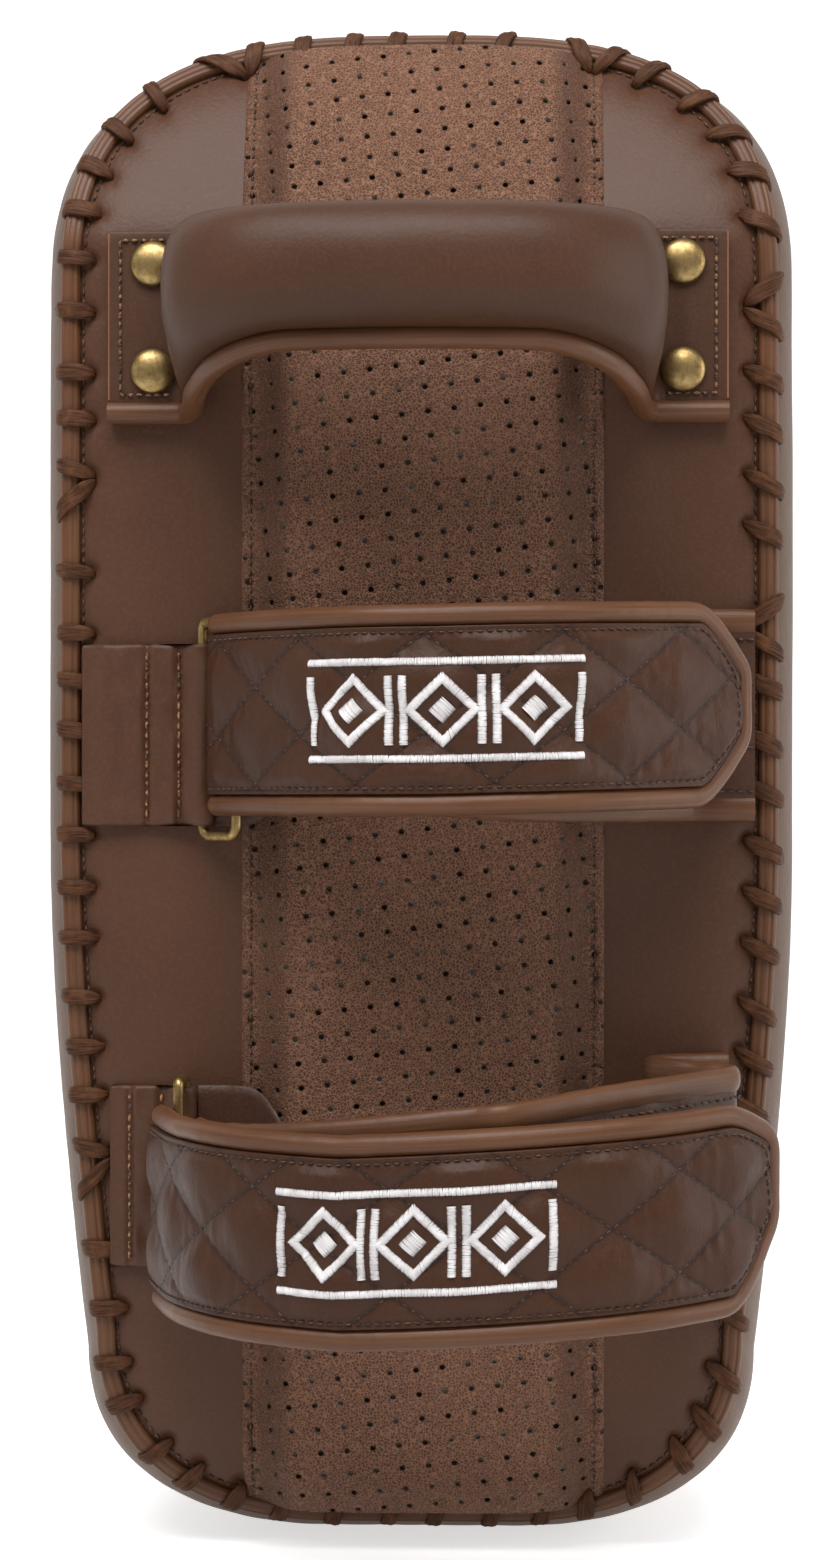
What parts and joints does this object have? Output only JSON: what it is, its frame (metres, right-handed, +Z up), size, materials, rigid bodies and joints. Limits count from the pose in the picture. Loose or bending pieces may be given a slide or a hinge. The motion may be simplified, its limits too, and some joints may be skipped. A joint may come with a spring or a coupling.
{
  "type": "thai pad",
  "caption": "Curved, laced kick pad with a piped grip handle riveted across its arm side and two quilted forearm straps that fold back over rings.",
  "frame": {"origin": "on the flat lower end that the pad stands on, under the middle of its depth and width", "axes": "+Z up along the pad's length, +X across it, the arm side with the handle and straps faces -Y and the struck side +Y"},
  "size_m": [0.196, 0.1849, 0.3986],
  "materials": {
    "dark_leather": "smooth semi-matt cowhide",
    "light_leather": "smooth tan piping",
    "perforated_suede": "crackled nubuck, perforated",
    "waxed_lace": "waxed multi-strand lace",
    "foam": "closed-cell foam",
    "antique_brass": "antiqued, satin",
    "steel": "plated",
    "webbing": "woven",
    "hook_and_loop": "napped"
  },
  "bodies": {
    "pad": {"back_panel_left": "dark_leather", "back_panel_right": "dark_leather", "side_wall": "dark_leather", "strike_cover": "dark_leather", "handle_cover": "dark_leather", "upper_anchor_band": "dark_leather", "upper_ring_guard": "dark_leather", "upper_base_strap": "dark_leather", "lower_anchor_band": "dark_leather", "lower_ring_guard": "dark_leather", "lower_base_strap": "dark_leather", "edge_binding": "light_leather", "strike_piping": "light_leather", "handle_piping": "light_leather", "upper_base_binding_top": "light_leather", "upper_base_binding_bottom": "light_leather", "lower_base_binding_top": "light_leather", "lower_base_binding_bottom": "light_leather", "back_center_panel": "perforated_suede", "edge_lace": "waxed_lace", "back_center_foam": "foam", "foam_back_firm": "foam", "foam_core": "foam", "foam_strike_soft": "foam", "handle_core": "foam", "handle_rivet_1": "antique_brass", "handle_rivet_2": "antique_brass", "handle_rivet_3": "antique_brass", "handle_rivet_4": "antique_brass", "handle_washer_1": "steel", "handle_washer_2": "steel", "handle_washer_3": "steel", "handle_washer_4": "steel", "handle_webbing": "webbing", "upper_loop_patch": "hook_and_loop", "lower_loop_patch": "hook_and_loop"},
    "upper_ring_body": {"upper_ring": "antique_brass"},
    "upper_flap_body": {"upper_flap": "dark_leather", "upper_flap_lining": "dark_leather", "upper_flap_piping": "light_leather", "upper_hook_patch": "hook_and_loop"},
    "lower_ring_body": {"lower_ring": "antique_brass"},
    "lower_flap_body": {"lower_flap": "dark_leather", "lower_flap_lining": "dark_leather", "lower_flap_piping": "light_leather", "lower_hook_patch": "hook_and_loop"}
  },
  "joints": [
    {"name": "upper_ring_swing", "type": "hinge", "parent": "pad", "child": "upper_ring_body", "pos_m": [-0.0555, -0.0483, 0.213], "axis": [0, 0, -1], "range_deg": [0, 20]},
    {"name": "upper_flap_peel", "type": "hinge", "parent": "upper_ring_body", "child": "upper_flap_body", "pos_m": [-0.04607, -0.0565, 0.213], "axis": [0, 0, -1], "range_deg": [0, 95]},
    {"name": "lower_ring_swing", "type": "hinge", "parent": "pad", "child": "lower_ring_body", "pos_m": [-0.06, -0.0483, 0.0955], "axis": [0, 0, -1], "range_deg": [0, 15]},
    {"name": "lower_flap_peel", "type": "hinge", "parent": "lower_ring_body", "child": "lower_flap_body", "pos_m": [-0.06044, -0.06079, 0.0955], "axis": [0, 0, -1], "range_deg": [0, 95]}
  ]
}
